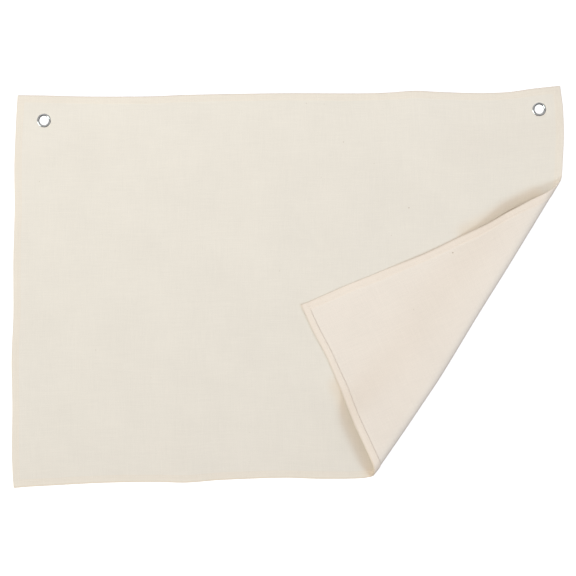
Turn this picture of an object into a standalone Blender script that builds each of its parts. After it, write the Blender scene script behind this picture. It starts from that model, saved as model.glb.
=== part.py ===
# Canvas wall banner of plain ecru cotton, 700 x 500 mm, with a hanging eyelet in each upper corner.
# It lies face up on a flat surface and its lower right corner is folded over to the middle, so that
# corner shows its back.
# Sizes are in millimetres and are written to Blender in metres. The surface is z = 0, +X runs along
# the heading and +Y towards it. Places on the cut cloth are "along" its lower edge and "up" its left one.
import math
from collections import namedtuple

import bmesh
import bpy
from mathutils import Vector
from mathutils.geometry import delaunay_2d_cdt

MM = 0.001

# Cut cloth
WIDTH = 700.0
HEIGHT = 500.0
THICKNESS = 1.2
HEM_WIDTH = 9.0
HEM_STEP = 0.8
HEM_EXTRA = 0.8
HEADING_DEPTH = 48.0
SEAM_GAP = 0.3

# Where the four corners of the unfolded cloth lie
LOWER_LEFT = (-352.8, -259.0)
LOWER_RIGHT = (362.4, -242.4)
UPPER_LEFT = (-347.8, 246.8)
UPPER_RIGHT = (350.7, 259.0)

# How far each edge lies out from the straight line between its corners; the hems draw it in and out
Edge = namedtuple("Edge", "at out")
UPPER_EDGE = [
    Edge(0, 0.0), Edge(40, -1.2), Edge(85, -3.1), Edge(170, -4.6), Edge(220, -3.4), Edge(340, -3.4),
    Edge(445, -5.4), Edge(482, -4.9), Edge(512, -3.5), Edge(545, -5.5), Edge(600, -7.7),
    Edge(635, -6.8), Edge(665, -3.2), Edge(700, 0.0),
]
LOWER_EDGE = [
    Edge(0, 0.0), Edge(20, -1.3), Edge(110, -4.0), Edge(180, -3.6), Edge(217, -2.0), Edge(262, -4.2),
    Edge(340, -5.1), Edge(385, -2.9), Edge(438, -2.2), Edge(452, -4.0), Edge(475, -6.2),
    Edge(530, -4.2), Edge(625, -4.0), Edge(660, -1.2), Edge(700, 0.0),
]
LEFT_EDGE = [
    Edge(0, 0.0), Edge(15, 1.4), Edge(50, 2.9), Edge(105, 2.8), Edge(165, 4.2), Edge(220, 2.6),
    Edge(290, 3.4), Edge(355, 2.3), Edge(410, 3.1), Edge(455, 2.1), Edge(485, 0.8), Edge(500, 0.0),
]
RIGHT_EDGE = [
    Edge(0, 0.0), Edge(60, -1.3), Edge(110, -4.5), Edge(175, -7.1), Edge(220, -6.0), Edge(262, -6.1),
    Edge(300, -3.3), Edge(350, -3.4), Edge(385, -0.2), Edge(410, 1.6), Edge(440, 3.4),
    Edge(474, 2.8), Edge(490, 1.1), Edge(500, 0.0),
]

# Folded corner: the crease runs at this angle to +X. Each row is a place along it, how far its outer
# edge stands from the origin, and the cloth in the roll's nose, in its flat top and in the slope down
# to the flap. The roll is fullest at its lower open end.
CREASE_ANGLE = math.radians(57.6)
Crease = namedtuple("Crease", "at edge nose top slope")
CREASE = [
    Crease(-150, 221.9, 31, 31, 54), Crease(-135, 223.4, 31, 31, 54), Crease(-80, 225.7, 30, 27, 54),
    Crease(-30, 227.1, 28.5, 16, 52), Crease(10, 227.9, 27.5, 9, 50), Crease(100, 226.0, 27, 3, 52),
    Crease(180, 225.3, 28, 0, 59), Crease(300, 223.0, 29, 0, 60), Crease(350, 222.3, 29, 0, 60),
]
NOSE_EASE = 2.8
FLAP_GAP = 0.5
FLAP_RISE = THICKNESS + FLAP_GAP
NOSE_LINES = 12
NOSE_LINE_EASE = 1.25
SLOPE_LINES = 6
SECTION_STEPS = 90
MOST_DROOP = 1.2
HALVINGS = 30
STATION_STEP = 10.0
STATION_START = -200.0
STATION_COUNT = 61
CREASE_LINE_START = -190.0
CREASE_LINE_END = 360.0

# Soft swells where the lying cloth stands off the surface: where on the cut cloth, how far each
# reaches along and up from there, and its height
Swell = namedtuple("Swell", "along up reach_along reach_up height")
SWELLS = [
    Swell(512, 500, 70, 95, 3.0),
    Swell(170, 500, 90, 60, 1.6),
    Swell(700, 440, 95, 70, 3.2),
    Swell(0, 165, 90, 75, 2.4),
    Swell(0, 405, 70, 60, 1.6),
    Swell(217, 0, 55, 80, 2.2),
    Swell(395, 0, 60, 85, 2.6),
    Swell(60, 0, 60, 60, 1.8),
    Swell(330, 330, 75, 110, 1.6),
    Swell(420, 300, 60, 120, 1.5),
    Swell(590, 405, 90, 60, 1.8),
]

# Eyelets and their back washers; each lifts the cloth by the height of its clinched back
Eyelet = namedtuple("Eyelet", "name along up")
EYELETS = [Eyelet("left", 35.7, 468.1), Eyelet("right", 669.8, 473.0)]
BORE_RADIUS = 6.0
BARREL_WALL = 0.4
FLANGE_RADIUS = 9.25
FLANGE_HEIGHT = 1.6
CLINCH_RADIUS = 8.0
CLINCH_THICKNESS = 0.5
WASHER_RADIUS = 9.4
WASHER_THICKNESS = 0.5
FIT_GAP = 0.3
EYELET_LIFT = CLINCH_THICKNESS + WASHER_THICKNESS + 2 * FIT_GAP
LIFT_FLAT = 12.5
LIFT_REACH = 48.0
RING_STEPS = 32
FLANGE_STEPS = 8

# Mesh spacing
BASE_SPACING = 28.0
CREASE_SPACING = 16.0
FLAP_SPACING = 24.0
HEADING_SPACING = 18.0
HOLE_SPACING = 11.0
CLEAR_OF_LINES = 8.0
SLOPE_STEP = 0.4
MERGE_WITHIN = 0.02
PLACE_TRIES = 12
TINY = 0.01
SHARP_ANGLE = math.radians(28)


def ease(share):
    share = min(max(share, 0.0), 1.0)
    return share * share * (3 - 2 * share)


def read_curve(rows, at, column=1):
    """Smooth curve through the rows, by their first column."""
    if at <= rows[0][0]:
        return rows[0][column]
    if at >= rows[-1][0]:
        return rows[-1][column]
    low = max(index for index in range(len(rows) - 1) if rows[index][0] <= at)

    def slope(index):
        before = rows[max(index - 1, 0)]
        after = rows[min(index + 1, len(rows) - 1)]
        return (after[column] - before[column]) / (after[0] - before[0])

    start, end = rows[low], rows[low + 1]
    step = end[0] - start[0]
    share = (at - start[0]) / step
    back = 1 - share
    return (start[column] * (1 + 2 * share) * back * back
            + end[column] * (1 + 2 * back) * share * share
            + slope(low) * step * share * back * back
            - slope(low + 1) * step * share * share * back)


def unfolded(along, up):
    """Where a point of the cut cloth lies before the corner is folded."""
    across = along / WIDTH
    rise = up / HEIGHT
    x = ((1 - rise) * ((1 - across) * LOWER_LEFT[0] + across * LOWER_RIGHT[0])
         + rise * ((1 - across) * UPPER_LEFT[0] + across * UPPER_RIGHT[0]))
    y = ((1 - rise) * ((1 - across) * LOWER_LEFT[1] + across * LOWER_RIGHT[1])
         + rise * ((1 - across) * UPPER_LEFT[1] + across * UPPER_RIGHT[1]))
    x += across * read_curve(RIGHT_EDGE, up) - (1 - across) * read_curve(LEFT_EDGE, up)
    y += rise * read_curve(UPPER_EDGE, along) - (1 - rise) * read_curve(LOWER_EDGE, along)
    return x, y


def on_cloth(x, y):
    """The point of the cut cloth that lies at (x, y) before the fold."""
    along, up = x + WIDTH / 2, y + HEIGHT / 2
    for _ in range(PLACE_TRIES):
        near_x, near_y = unfolded(along, up)
        along += x - near_x
        up += y - near_y
    return along, up


def roll_section(nose, top, slope, droop):
    """Out and height of the roll's cross-section, at equal steps of its length."""
    step_length = (nose + top + slope) / SECTION_STEPS
    out = height = 0.0
    points = [(out, height)]
    for step in range(SECTION_STEPS):
        length = (step + 0.5) * step_length
        turned = min(length / nose, 1.0)
        down = min(max((length - nose - top) / slope, 0.0), 1.0)
        heading = math.pi * (1 - (1 - turned) ** NOSE_EASE) + droop * math.sin(math.pi * down)
        out += math.cos(heading) * step_length
        height += math.sin(heading) * step_length
        points.append((out, height))
    return points


def settled_section(nose, top, slope):
    """The section whose end comes down to the flap's height."""
    low, high = 0.0, MOST_DROOP
    for _ in range(HALVINGS):
        droop = (low + high) / 2
        if roll_section(nose, top, slope, droop)[-1][1] > FLAP_RISE:
            low = droop
        else:
            high = droop
    return roll_section(nose, top, slope, high)


Station = namedtuple("Station", "start roll nose section flap")


def crease_station(at):
    nose, top, slope = (read_curve(CREASE, at, column) for column in (2, 3, 4))
    section = settled_section(nose, top, slope)
    start = read_curve(CREASE, at, 1) - max(point[0] for point in section)
    roll = nose + top + slope
    return Station(start, roll, nose / roll, section, 2 * start + roll + section[-1][0])


STATIONS = [crease_station(STATION_START + STATION_STEP * index) for index in range(STATION_COUNT)]


def blended_station(at):
    place = min(max((at - STATION_START) / STATION_STEP, 0.0), STATION_COUNT - 1.001)
    index = int(place)
    share = place - index
    one, two = STATIONS[index], STATIONS[index + 1]

    def mix(a, b):
        return a * (1 - share) + b * share

    section = [(mix(a[0], b[0]), mix(a[1], b[1])) for a, b in zip(one.section, two.section)]
    return Station(mix(one.start, two.start), mix(one.roll, two.roll), mix(one.nose, two.nose), section,
                   mix(one.flap, two.flap))


OUTWARD = (math.sin(CREASE_ANGLE), -math.cos(CREASE_ANGLE))
UPWARD = (math.cos(CREASE_ANGLE), math.sin(CREASE_ANGLE))


def crease_place(x, y):
    """Distance out past the origin's parallel to the crease, and distance along it."""
    return x * OUTWARD[0] + y * OUTWARD[1], x * UPWARD[0] + y * UPWARD[1]


def folded(x, y):
    """Fold the flat point over: its new x and y, its height, and its share of the way over."""
    out, at = crease_place(x, y)
    station = blended_station(at)
    past = out - station.start
    if past <= 0:
        return x, y, 0.0, 0.0
    if past >= station.roll:
        out = station.flap - out
        height, over = FLAP_RISE, 1.0
    else:
        over = past / station.roll
        place = min(over * SECTION_STEPS, SECTION_STEPS - TINY)
        index = int(place)
        share = place - index
        low, high = station.section[index], station.section[index + 1]
        out = station.start + low[0] * (1 - share) + high[0] * share
        height = low[1] * (1 - share) + high[1] * share
    return out * OUTWARD[0] + at * UPWARD[0], out * OUTWARD[1] + at * UPWARD[1], height, over


def lift(along, up, x, y):
    """Height of the swells and of the rise round each eyelet."""
    height = 0.0
    for swell in SWELLS:
        away = math.hypot((along - swell.along) / swell.reach_along, (up - swell.up) / swell.reach_up)
        height += swell.height * ease(1 - away)
    for eyelet in EYELETS:
        centre = unfolded(eyelet.along, eyelet.up)
        away = math.hypot(x - centre[0], y - centre[1])
        round_eyelet = ease(1 - (away - LIFT_FLAT) / (LIFT_REACH - LIFT_FLAT))
        height = height * (1 - round_eyelet) + EYELET_LIFT * round_eyelet
    return height


def hem_share(along, up):
    """1 on the hem, 0 inside it."""
    inside = min(along, WIDTH - along, up, HEIGHT - up)
    return min(max((HEM_WIDTH + HEM_STEP - inside) / HEM_STEP, 0.0), 1.0)


def cloth_point(along, up):
    """Middle of the plain thickness: its place, and its share of the way over."""
    x, y = unfolded(along, up)
    swell = lift(along, up, x, y)
    x, y, height, over = folded(x, y)
    if over > 0:
        # the folded part rides on the swells of the cloth under it
        swell = swell * (1 - over) + lift(*on_cloth(x, y), x, y) * over
    return Vector((x, y, THICKNESS / 2 + height + swell)), over


def cloth_faces(along, up):
    """The front and back points of the cloth; the hem's extra layers always stand upwards."""
    middle, over = cloth_point(along, up)
    run = cloth_point(along + SLOPE_STEP, up)[0] - cloth_point(along - SLOPE_STEP, up)[0]
    climb = cloth_point(along, up + SLOPE_STEP)[0] - cloth_point(along, up - SLOPE_STEP)[0]
    face = run.cross(climb).normalized()
    extra = HEM_EXTRA * hem_share(along, up)
    front = middle + face * (THICKNESS / 2 + extra * (1 - ease(over)))
    back = middle - face * (THICKNESS / 2 + extra * ease(over))
    return front, back


def finish_object(name, bm, material):
    bmesh.ops.recalc_face_normals(bm, faces=bm.faces[:])
    mesh = bpy.data.meshes.new(name)
    bm.to_mesh(mesh)
    bm.free()
    mesh.materials.append(material)
    mesh.shade_smooth()
    mesh.set_sharp_from_angle(angle=SHARP_ANGLE)
    made = bpy.data.objects.new(name, mesh)
    bpy.context.scene.collection.objects.link(made)
    return made


def make_material(name, colour, roughness, metallic):
    material = bpy.data.materials.new(name)
    material.use_nodes = True
    shader = material.node_tree.nodes["Principled BSDF"]
    shader.inputs["Base Color"].default_value = (*colour, 1.0)
    shader.inputs["Roughness"].default_value = roughness
    shader.inputs["Metallic"].default_value = metallic
    material.diffuse_color = (*colour, 1.0)
    return material


def spaced(start, end, spacing):
    count = max(1, round(abs(end - start) / spacing))
    return [start + (end - start) * index / count for index in range(count + 1)]


def rectangle(low, high, spacing):
    """Points round a rectangle of the cut cloth, evenly spaced on each side."""
    sides = [((low[0], low[1]), (high[0], low[1])), ((high[0], low[1]), (high[0], high[1])),
             ((high[0], high[1]), (low[0], high[1])), ((low[0], high[1]), (low[0], low[1]))]
    points = []
    for start, end in sides:
        length = math.hypot(end[0] - start[0], end[1] - start[1])
        for share in spaced(0.0, 1.0, spacing / length)[:-1]:
            points.append((start[0] + (end[0] - start[0]) * share, start[1] + (end[1] - start[1]) * share))
    return points


class Layout:
    """The flat layout of one piece: its guide lines and points, triangulated."""

    def __init__(self, low, high, spacing):
        self.low, self.high = low, high
        self.points, self.edges = [], []
        self.holes = []
        self.add_loop(rectangle(low, high, spacing))

    def add_loop(self, points):
        first = len(self.points)
        self.points += points
        self.edges += [(first + i, first + (i + 1) % len(points)) for i in range(len(points))]

    def add_line(self, points):
        first = len(self.points)
        self.points += points
        self.edges += [(first + i, first + i + 1) for i in range(len(points) - 1)]

    def add_hem_lines(self, spacing):
        for inset in (HEM_WIDTH, HEM_WIDTH + HEM_STEP):
            low = (inset, inset if self.low[1] == 0 else self.low[1])
            high = (WIDTH - inset, HEIGHT - inset if self.high[1] == HEIGHT else self.high[1])
            corners = [low, (high[0], low[1]), high, (low[0], high[1])]
            for start, end in zip(corners, corners[1:] + corners[:1]):
                if start[1] == end[1] and start[1] in (self.low[1], self.high[1]):
                    continue
                length = math.hypot(end[0] - start[0], end[1] - start[1])
                self.add_line([(start[0] + (end[0] - start[0]) * share,
                                start[1] + (end[1] - start[1]) * share)
                               for share in spaced(0.0, 1.0, spacing / length)])

    def add_point(self, along, up):
        margin = HEM_WIDTH + HEM_STEP + CLEAR_OF_LINES
        if along < margin or along > WIDTH - margin:
            return
        if up < max(self.low[1] + CLEAR_OF_LINES, margin):
            return
        if up > min(self.high[1] - CLEAR_OF_LINES, HEIGHT - margin):
            return
        self.points.append((along, up))

    def has(self, along, up):
        if not (self.low[0] < along < self.high[0] and self.low[1] < up < self.high[1]):
            return False
        return all(math.hypot(along - hole[0], up - hole[1]) > hole[2] for hole in self.holes)

    def triangles(self):
        flat = [Vector(point) for point in self.points]
        points, _, faces, _, _, _ = delaunay_2d_cdt(flat, self.edges, [], 0, MERGE_WITHIN)
        kept = []
        for face in faces:
            middle = sum((points[index] for index in face), Vector((0, 0))) / len(face)
            if self.has(middle.x, middle.y):
                kept.append(face)
        return points, kept


def sheet_object(name, layout, material):
    """A closed sheet of the cloth over the layout's triangles."""
    points, faces = layout.triangles()
    bm = bmesh.new()
    front, back = {}, {}
    for index in sorted({index for face in faces for index in face}):
        top, bottom = cloth_faces(*points[index])
        front[index] = bm.verts.new(top * MM)
        back[index] = bm.verts.new(bottom * MM)
    rim = {}
    for face in faces:
        bm.faces.new([front[index] for index in face])
        bm.faces.new([back[index] for index in reversed(face)])
        for start, end in zip(face, face[1:] + face[:1]):
            if (end, start) in rim:
                del rim[(end, start)]
            else:
                rim[(start, end)] = True
    for start, end in rim:
        bm.faces.new([front[end], front[start], back[start], back[end]])
    return finish_object(name, bm, material)


def banner_cloth(material):
    """The main cloth below the heading strip, with its folded corner."""
    layout = Layout((0.0, 0.0), (WIDTH, HEIGHT - HEADING_DEPTH - SEAM_GAP), BASE_SPACING)
    layout.add_hem_lines(BASE_SPACING)
    for index in range(NOSE_LINES + SLOPE_LINES + 1):
        line = []
        for at in spaced(CREASE_LINE_START, CREASE_LINE_END, CREASE_SPACING):
            station = blended_station(at)
            if index < NOSE_LINES:
                share = station.nose * (index / NOSE_LINES) ** NOSE_LINE_EASE
            else:
                share = station.nose + (1 - station.nose) * (index - NOSE_LINES) / SLOPE_LINES
            out = station.start + share * station.roll
            line.append(on_cloth(out * OUTWARD[0] + at * UPWARD[0], out * OUTWARD[1] + at * UPWARD[1]))
        layout.add_line(line)
    for along in spaced(0.0, WIDTH, BASE_SPACING):
        for up in spaced(0.0, layout.high[1], BASE_SPACING):
            out, at = crease_place(*unfolded(along, up))
            if out < blended_station(at).start - CLEAR_OF_LINES:
                layout.add_point(along, up)
    for along in spaced(0.0, WIDTH, FLAP_SPACING):
        for up in spaced(0.0, HEIGHT, FLAP_SPACING):
            out, at = crease_place(*unfolded(along, up))
            station = blended_station(at)
            if out > station.start + station.roll + CLEAR_OF_LINES:
                layout.add_point(along, up)
    return sheet_object("banner_cloth", layout, material)


def heading(material):
    """The strip along the upper edge, with a round hole for each eyelet."""
    layout = Layout((0.0, HEIGHT - HEADING_DEPTH), (WIDTH, HEIGHT), HEADING_SPACING)
    layout.add_hem_lines(HEADING_SPACING)
    hole = BORE_RADIUS + BARREL_WALL + FIT_GAP
    for eyelet in EYELETS:
        layout.holes.append((eyelet.along, eyelet.up, hole - TINY))
        for radius, steps in ((hole, RING_STEPS), (HOLE_SPACING, RING_STEPS // 2)):
            centre = unfolded(eyelet.along, eyelet.up)
            layout.add_loop([on_cloth(centre[0] + radius * math.cos(math.tau * i / steps),
                                      centre[1] + radius * math.sin(math.tau * i / steps))
                             for i in range(steps)])
    for along in spaced(0.0, WIDTH, HEADING_SPACING):
        for up in spaced(layout.low[1], HEIGHT, HEADING_DEPTH / 4):
            if all(math.hypot(along - e.along, up - e.up) > HOLE_SPACING + CLEAR_OF_LINES for e in EYELETS):
                layout.add_point(along, up)
    return sheet_object("heading", layout, material)


def turned_ring(name, profile, material):
    """A ring turned about Z from its closed profile of (radius, height)."""
    bm = bmesh.new()
    points = [bm.verts.new(Vector((radius, 0.0, height)) * MM) for radius, height in profile]
    edges = [bm.edges.new((points[i], points[(i + 1) % len(points)])) for i in range(len(points))]
    bmesh.ops.spin(bm, geom=points + edges, cent=(0, 0, 0), axis=(0, 0, 1), angle=math.tau,
                   steps=RING_STEPS, use_merge=True)
    return finish_object(name, bm, material)


def eyelet(place, material):
    """One-piece eyelet: domed front flange, barrel, and the clinched rim behind."""
    barrel = BORE_RADIUS + BARREL_WALL
    flange_foot = EYELET_LIFT + THICKNESS + FIT_GAP
    middle = (BORE_RADIUS + FLANGE_RADIUS) / 2
    half = (FLANGE_RADIUS - BORE_RADIUS) / 2
    edge = CLINCH_THICKNESS / 2
    profile = [(BORE_RADIUS, edge)]
    for index in range(FLANGE_STEPS + 1):
        angle = math.pi * (1 - index / FLANGE_STEPS)
        profile.append((middle + half * math.cos(angle), flange_foot + FLANGE_HEIGHT * math.sin(angle)))
    profile += [(barrel, flange_foot), (barrel, CLINCH_THICKNESS), (CLINCH_RADIUS - edge, CLINCH_THICKNESS),
                (CLINCH_RADIUS, edge), (CLINCH_RADIUS - edge, 0.0), (BORE_RADIUS + edge / 2, 0.0)]
    ring = turned_ring("eyelet_" + place.name, profile, material)
    centre = unfolded(place.along, place.up)
    ring.location = (centre[0] * MM, centre[1] * MM, 0.0)
    return ring


def washer(place, material):
    """Flat washer behind the cloth, which the eyelet's barrel is clinched over."""
    inner = BORE_RADIUS + BARREL_WALL + FIT_GAP
    low = CLINCH_THICKNESS + FIT_GAP
    high = low + WASHER_THICKNESS
    profile = [(inner, low), (inner, high), (WASHER_RADIUS, high), (WASHER_RADIUS, low)]
    ring = turned_ring("washer_" + place.name, profile, material)
    centre = unfolded(place.along, place.up)
    ring.location = (centre[0] * MM, centre[1] * MM, 0.0)
    return ring


def main():
    for old in list(bpy.data.objects):
        bpy.data.objects.remove(old, do_unlink=True)
    canvas = make_material("ecru_canvas", (0.80, 0.74, 0.64), 0.9, 0.0)
    canvas_strip = make_material("ecru_canvas_heading", (0.78, 0.72, 0.62), 0.9, 0.0)
    nickel = make_material("bright_nickel", (0.74, 0.73, 0.72), 0.18, 1.0)
    washer_metal = make_material("plain_nickel", (0.62, 0.61, 0.60), 0.35, 1.0)
    banner_cloth(canvas)
    heading(canvas_strip)
    for place in EYELETS:
        eyelet(place, nickel)
        washer(place, washer_metal)


main()
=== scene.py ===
import math

import bpy
import numpy as np
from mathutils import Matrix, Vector
from mathutils.geometry import delaunay_2d_cdt


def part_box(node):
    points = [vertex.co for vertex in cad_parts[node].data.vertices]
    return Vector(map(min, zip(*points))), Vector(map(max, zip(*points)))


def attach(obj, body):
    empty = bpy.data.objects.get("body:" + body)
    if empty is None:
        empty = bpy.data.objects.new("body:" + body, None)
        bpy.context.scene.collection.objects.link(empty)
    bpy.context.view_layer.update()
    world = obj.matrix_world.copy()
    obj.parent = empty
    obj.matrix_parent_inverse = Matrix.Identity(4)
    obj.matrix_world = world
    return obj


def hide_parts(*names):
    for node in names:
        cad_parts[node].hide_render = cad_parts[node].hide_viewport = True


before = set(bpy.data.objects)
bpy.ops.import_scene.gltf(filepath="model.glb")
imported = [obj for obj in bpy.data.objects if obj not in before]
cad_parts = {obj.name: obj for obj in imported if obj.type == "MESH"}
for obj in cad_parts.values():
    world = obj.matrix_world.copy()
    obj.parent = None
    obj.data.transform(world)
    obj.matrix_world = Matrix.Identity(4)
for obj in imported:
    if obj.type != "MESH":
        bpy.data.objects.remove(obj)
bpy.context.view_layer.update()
mm = 0.001
chance = np.random.default_rng(31)

clothNodes = ("banner_cloth", "heading")
clothLow = Vector([min(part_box(node)[0][axis] for node in clothNodes) for axis in range(3)]) / mm
clothHigh = Vector([max(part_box(node)[1][axis] for node in clothNodes) for axis in range(3)]) / mm
print("frame loaded: cloth solids span", [round(size, 1) for size in clothHigh - clothLow], "mm")

# The cut cloth and where its four corners lie before the fold
cloth = {
    "width": 700.0,
    "height": 500.0,
    "thickness": 0.6,
    "offFloor": 0.6,
    "edgeRound": 0.8,
    "spacing": 4.3,
    "hemSpacing": 3.0,
    "lowerLeft": (-352.8, -259.0),
    "lowerRight": (362.4, -242.4),
    "upperLeft": (-347.8, 246.8),
    "upperRight": (350.7, 259.0),
}

# How far each edge lies out from the straight line between its corners: (place along it, out)
edges = {
    "upper": [(0, 0.0), (40, -1.2), (85, -3.1), (170, -4.6), (220, -3.4), (340, -3.4), (445, -5.4),
              (482, -4.9), (512, -3.5), (545, -5.5), (600, -7.7), (635, -6.8), (665, -3.2), (700, 0.0)],
    "lower": [(0, 0.0), (20, -1.3), (110, -4.0), (180, -3.6), (217, -2.0), (262, -4.2), (340, -5.1),
              (385, -2.9), (438, -2.2), (452, -4.0), (475, -6.2), (530, -4.2), (625, -4.0), (660, -1.2),
              (700, 0.0)],
    "left": [(0, 0.0), (15, 1.4), (50, 2.9), (105, 2.8), (165, 4.2), (220, 2.6), (290, 3.4),
             (355, 2.3), (410, 3.1), (455, 2.1), (485, 0.8), (500, 0.0)],
    "right": [(0, 0.0), (60, -1.3), (110, -4.5), (175, -7.1), (220, -6.0), (262, -6.1), (300, -3.3),
              (350, -3.4), (385, -0.2), (410, 1.6), (440, 3.4), (474, 2.8), (490, 1.1), (500, 0.0)],
}

# The folded corner: its crease runs at this angle to +X. Each row is a place along the crease, how far
# the roll's outer edge stands from the origin, and the cloth in the roll's nose, flat top and slope.
crease = {
    "angle": math.radians(57.6),
    "rows": [(-150, 221.9, 31, 31, 54), (-135, 223.4, 31, 31, 54), (-80, 225.7, 30, 27, 57),
             (-30, 227.1, 28.5, 16, 66), (10, 227.9, 27.5, 9, 73), (100, 226.0, 27, 3, 76),
             (180, 225.3, 28, 0, 65), (300, 223.0, 29, 0, 60), (350, 222.3, 29, 0, 60)],
    "noseEase": 2.8,
    "gap": 0.12,
    "steps": 160,
    "stationStart": -200.0,
    "stationStep": 5.0,
    "stationCount": 121,
    "mostDroop": 1.2,
}

# Soft swells where the cloth stands off the floor: (along, up, reach along, reach up, height)
swells = [
    (512, 500, 70, 95, 3.0), (170, 500, 90, 60, 1.6), (700, 440, 95, 70, 3.2), (0, 165, 90, 75, 2.4),
    (0, 405, 70, 60, 1.6), (217, 0, 55, 80, 2.2), (395, 0, 60, 85, 2.6), (60, 0, 60, 60, 1.8),
    (330, 330, 75, 110, 1.6), (420, 300, 60, 120, 1.5), (590, 405, 90, 60, 1.8),
]

# Hems turned to the back. "extra" is how much the turned layers add, "turned" how wide their inner edge is,
# the last value how much painted shade darkens the back along that edge, and "ridge" how much of the layers
# shows as a soft rise on the face.
hems = {
    "width": 9.0,
    "lower": {"extra": 0.85, "turned": 0.45, "fold": 1.0},
    "upper": {"extra": 0.75, "turned": 0.45, "fold": 1.0},
    "left": {"extra": 0.80, "turned": 0.45, "fold": 1.0},
    "right": {"extra": 0.45, "turned": 2.2, "fold": 0.0},
    "overlap": 0.35,
    "ridge": 0.22,
    "ridgeSoft": 3.2,
    "settle": 46.0,
    "seamInset": 7.3,
    "groove": 0.11,
    "grooveWidth": 0.42,
    "foldWidth": 0.5,
    "wander": 0.28,
    "wanderFrom": 6.0,
    "jogAlong": 588.0,
    "jog": 0.7,
    "puckerHeight": 0.07,
    "puckerReach": 10.0,
    "insets": [0.12, 0.4, 0.9, 2.3, 4.2, 6.0, 6.8, 7.3, 7.8, 8.6, 9.0, 9.15, 9.3, 9.45, 9.9, 11.2, 13.2],
}

# Long soft troughs and ridges in the lying cloth: (from x, y, to x, y, half width, height)
softLines = {
    "base": [
        (2, 112, 34, 62, 7.0, -0.40), (34, 62, 62, 4, 10.0, -0.55), (-72, 198, -41, 174, 4.0, -0.14),
        (186, 240, 222, 209, 9.0, -0.35), (124, 232, 128, 205, 8.0, 0.30), (24, 236, 44, 232, 9.0, 0.22),
        (-10, -80, 30, -122, 26.0, -0.50), (-214, 20, -150, -40, 40.0, 0.5),
        (-300, 150, -180, 120, 34.0, 0.5),
    ],
    "flap": [
        (247, 68, 268, 30, 6.0, -0.40), (104, -126, 156, -156, 22.0, -0.36), (60, -40, 130, -60, 30.0, 0.4),
        (150, 20, 190, 44, 16.0, 0.55),
    ],
}


def ease(share):
    share = np.clip(share, 0.0, 1.0)
    return share * share * (3 - 2 * share)


# Smooth curve through rows, by their first column
def readCurve(rows, at, column=1):
    places = np.array([row[0] for row in rows], float)
    values = np.array([row[column] for row in rows], float)
    count = len(rows)
    before = np.maximum(np.arange(count) - 1, 0)
    after = np.minimum(np.arange(count) + 1, count - 1)
    slopes = (values[after] - values[before]) / (places[after] - places[before])
    at = np.clip(at, places[0], places[-1])
    low = np.clip(np.searchsorted(places, at, "right") - 1, 0, count - 2)
    step = places[low + 1] - places[low]
    share = (at - places[low]) / step
    back = 1 - share
    return (values[low] * (1 + 2 * share) * back ** 2 + values[low + 1] * (1 + 2 * back) * share ** 2
            + slopes[low] * step * share * back ** 2 - slopes[low + 1] * step * share ** 2 * back)


# Where points of the cut cloth lie before the corner is folded
def unfolded(along, up):
    across, rise = along / cloth["width"], up / cloth["height"]
    place = []
    for axis in (0, 1):
        lower = (1 - across) * cloth["lowerLeft"][axis] + across * cloth["lowerRight"][axis]
        upper = (1 - across) * cloth["upperLeft"][axis] + across * cloth["upperRight"][axis]
        place.append((1 - rise) * lower + rise * upper)
    x = place[0] + across * readCurve(edges["right"], up) - (1 - across) * readCurve(edges["left"], up)
    y = place[1] + rise * readCurve(edges["upper"], along) - (1 - rise) * readCurve(edges["lower"], along)
    return x, y


# The point of the cut cloth that lies at (x, y) before the fold
def onCloth(x, y):
    along, up = x + cloth["width"] / 2, y + cloth["height"] / 2
    for _ in range(12):
        nearX, nearY = unfolded(along, up)
        along, up = along + x - nearX, up + y - nearY
    return along, up


outward = np.array([math.sin(crease["angle"]), -math.cos(crease["angle"])])
upward = np.array([math.cos(crease["angle"]), math.sin(crease["angle"])])
flapRise = cloth["thickness"] + crease["gap"]


# Out and height of every station's roll, at equal steps of its length
def rollSections(parts, droop):
    nose, top, slope = (part[:, None] for part in parts)
    roll = nose + top + slope
    length = roll * (np.arange(crease["steps"]) + 0.5) / crease["steps"]
    turned = np.clip(length / nose, 0, 1)
    down = np.clip((length - nose - top) / slope, 0, 1)
    heading = math.pi * (1 - (1 - turned) ** crease["noseEase"]) + droop[:, None] * np.sin(math.pi * down)
    step = roll / crease["steps"]
    out = np.cumsum(np.cos(heading) * step, axis=1)
    height = np.cumsum(np.sin(heading) * step, axis=1)
    start = np.zeros((len(roll), 1))
    return np.hstack([start, out]), np.hstack([start, height])


# Every roll droops until its end comes down to the flap's height
def creaseStations():
    at = crease["stationStart"] + crease["stationStep"] * np.arange(crease["stationCount"])
    parts = [readCurve(crease["rows"], at, column) for column in (2, 3, 4)]
    low, high = np.zeros(len(at)), np.full(len(at), crease["mostDroop"])
    for _ in range(30):
        droop = (low + high) / 2
        above = rollSections(parts, droop)[1][:, -1] > flapRise
        low, high = np.where(above, droop, low), np.where(above, high, droop)
    out, height = rollSections(parts, high)
    start = readCurve(crease["rows"], at, 1) - out.max(axis=1)
    roll = sum(parts)
    return {"roll": roll, "nose": parts[0] / roll, "out": out, "height": height, "start": start,
            "flap": 2 * start + roll + out[:, -1]}


stations = creaseStations()


# The station before a place along the crease, and the share of the way to the next one
def stationPlace(at):
    place = (at - crease["stationStart"]) / crease["stationStep"]
    place = np.clip(place, 0, crease["stationCount"] - 1.001)
    low = place.astype(int)
    return low, place - low


def atStation(name, at):
    low, share = stationPlace(at)
    values = stations[name]
    return values[low] * (1 - share) + values[low + 1] * share


def creasePlace(x, y):
    return x * outward[0] + y * outward[1], x * upward[0] + y * upward[1]


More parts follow.
